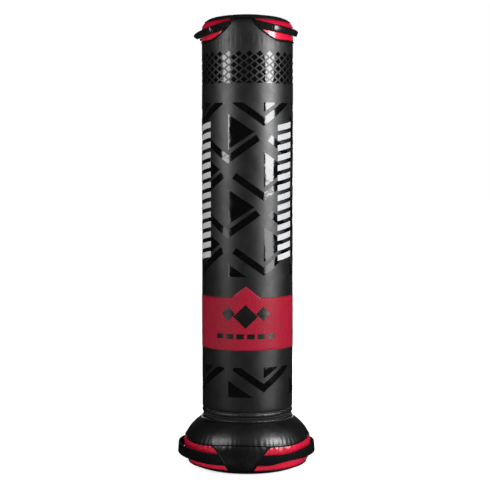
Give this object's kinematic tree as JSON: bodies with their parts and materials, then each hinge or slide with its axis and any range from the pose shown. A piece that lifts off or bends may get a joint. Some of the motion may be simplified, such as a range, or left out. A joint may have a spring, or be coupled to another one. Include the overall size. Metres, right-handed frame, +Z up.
{
  "type": "free standing training bag",
  "caption": "Tall round padded training bag on a wider weighted round base, with webbing handles at the top and at the base.",
  "frame": {"origin": "centre of the flat floor face, on the floor", "axes": "+Z up along the column, -Y towards the front panel, +X towards the right-hand windows and handles"},
  "size_m": [0.5424, 0.4892, 1.727],
  "materials": {
    "black_vinyl": "satin",
    "base_vinyl": "matte",
    "red_vinyl": "gloss",
    "red_print": "satin",
    "piping": "satin",
    "webbing": "matte",
    "grip_vinyl": "gloss",
    "foam": "matte",
    "core_plastic": "matte",
    "plywood": "matte",
    "zinc_steel": "satin",
    "liner_film": "matte",
    "dry_sand": "matte",
    "zip_tape": "matte",
    "zip_teeth": "gloss",
    "black_metal": "satin"
  },
  "bodies": {
    "bag": {"column_cover": "black_vinyl", "accent_band": "red_print", "top_panel": "black_vinyl", "top_rim_piping": "piping", "top_window_left": "red_vinyl", "top_window_right": "red_vinyl", "top_window_piping_left": "piping", "top_window_piping_right": "piping", "top_foam_pad": "foam", "impact_foam": "foam", "core_tube": "core_plastic", "core_top_cap": "core_plastic", "core_flange": "core_plastic", "base_board": "plywood", "flange_bolts": "zinc_steel", "flange_nuts": "zinc_steel", "ballast_liner": "liner_film", "ballast_sand": "dry_sand", "floor_pad": "foam", "base_foam_ring": "foam", "base_skirt": "black_vinyl", "base_side_panel_front": "black_vinyl", "base_side_panel_back": "black_vinyl", "base_window_left": "red_vinyl", "base_window_right": "red_vinyl", "base_window_piping_left": "piping", "base_window_piping_right": "piping", "base_shoulder_piping": "piping", "base_hem_piping": "piping", "base_bottom_panel": "base_vinyl", "neck_collar": "black_vinyl", "skirt_collar": "black_vinyl", "zipper_tapes": "zip_tape", "zipper_chain": "zip_teeth", "zipper_garage": "webbing", "top_handle_left_anchors": "webbing", "top_handle_right_anchors": "webbing", "base_handle_left_anchors": "webbing", "base_handle_right_anchors": "webbing"},
    "top_handle_left": {"top_handle_left_strap": "webbing", "top_handle_left_grip": "grip_vinyl"},
    "top_handle_right": {"top_handle_right_strap": "webbing", "top_handle_right_grip": "grip_vinyl"},
    "base_handle_left": {"base_handle_left_strap": "webbing"},
    "base_handle_right": {"base_handle_right_strap": "webbing"},
    "zipper_slider": {"zipper_slider": "black_metal"},
    "zipper_pull": {"zipper_pull": "black_metal"}
  },
  "joints": [
    {"name": "top_handle_left_swing", "type": "hinge", "parent": "bag", "child": "top_handle_left", "pos_m": [-0.05547, 0, 1.68], "axis": [0, 1, 0], "range_deg": [0, 60]},
    {"name": "top_handle_right_swing", "type": "hinge", "parent": "bag", "child": "top_handle_right", "pos_m": [0.05547, 0, 1.68], "axis": [0, -1, 0], "range_deg": [0, 60]},
    {"name": "base_handle_left_swing", "type": "hinge", "parent": "bag", "child": "base_handle_left", "pos_m": [-0.09478, 0, 0.061], "axis": [0, 1, 0], "range_deg": [0, 22]},
    {"name": "base_handle_right_swing", "type": "hinge", "parent": "bag", "child": "base_handle_right", "pos_m": [0.09478, 0, 0.061], "axis": [0, -1, 0], "range_deg": [0, 22]},
    {"name": "zipper_slider_travel", "type": "hinge", "parent": "bag", "child": "zipper_slider", "pos_m": [0, 0, 0.2035], "axis": [0, 0, 1], "range_deg": [0, 340]},
    {"name": "zipper_pull_swing", "type": "hinge", "parent": "zipper_slider", "child": "zipper_pull", "pos_m": [0, 0.1754, 0.2025], "axis": [1, 0, 0], "range_deg": [0, 118]}
  ]
}
